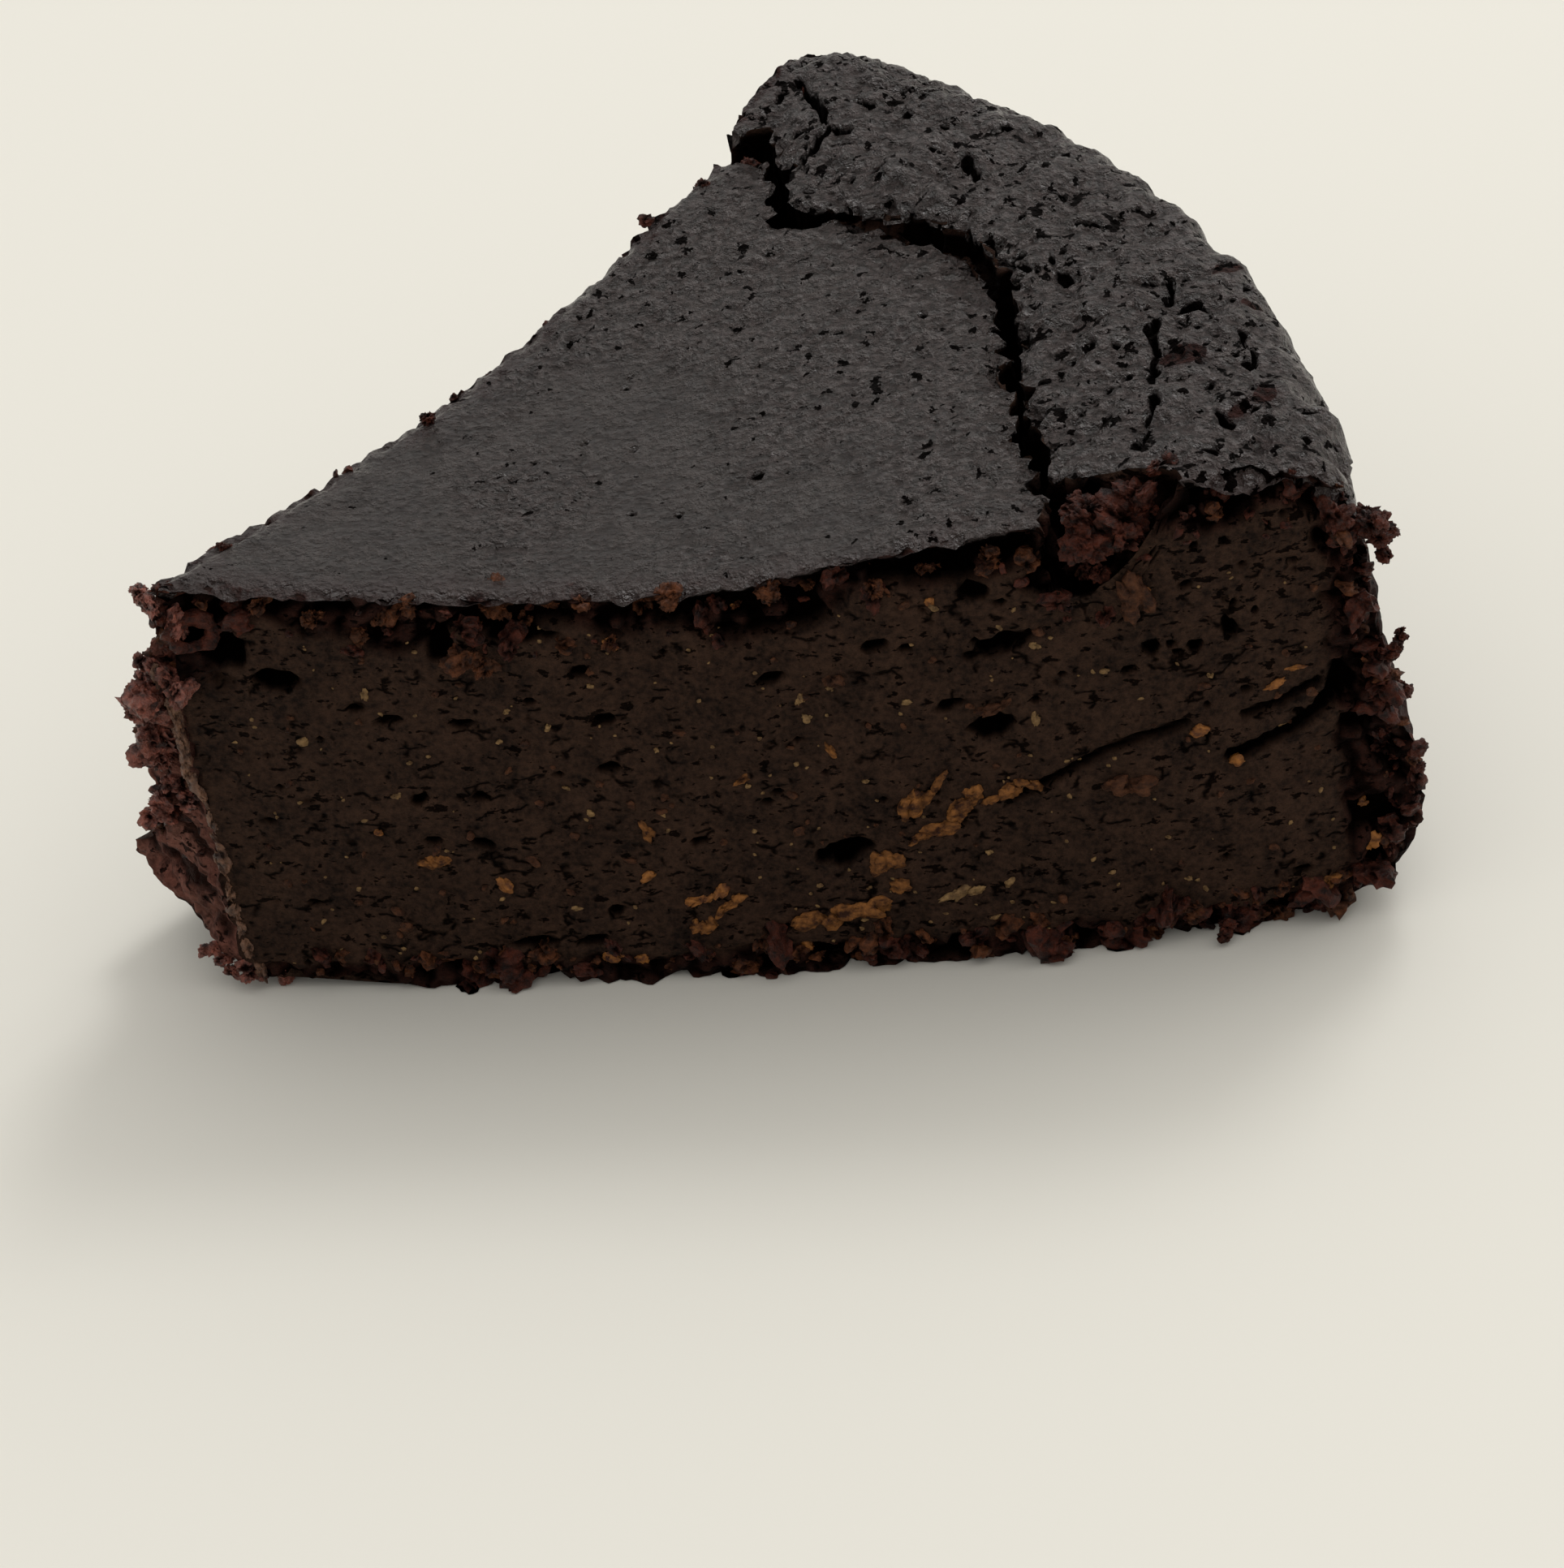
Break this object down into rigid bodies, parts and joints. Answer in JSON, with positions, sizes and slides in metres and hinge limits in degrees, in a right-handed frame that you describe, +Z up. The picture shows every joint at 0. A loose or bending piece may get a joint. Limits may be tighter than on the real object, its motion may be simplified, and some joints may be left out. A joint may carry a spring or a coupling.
{
  "type": "slice of black cake",
  "caption": "Wedge of dense dark fruit cake with a sunken dark top, a raised cracked rim, a crumbly foot and a torn tip.",
  "frame": {"origin": "centre of the slice's bounding box on the flat base it stands on", "axes": "+X along the near cut from the tip to the baked side, +Y from the near cut to the far cut, +Z up"},
  "size_m": [0.1258, 0.0997, 0.052],
  "materials": {
    "dark_crumb": "moist dark crumb under a satin, almost black crust"
  },
  "bodies": {
    "root": {"cake_slice": "dark_crumb"}
  },
  "joints": []
}
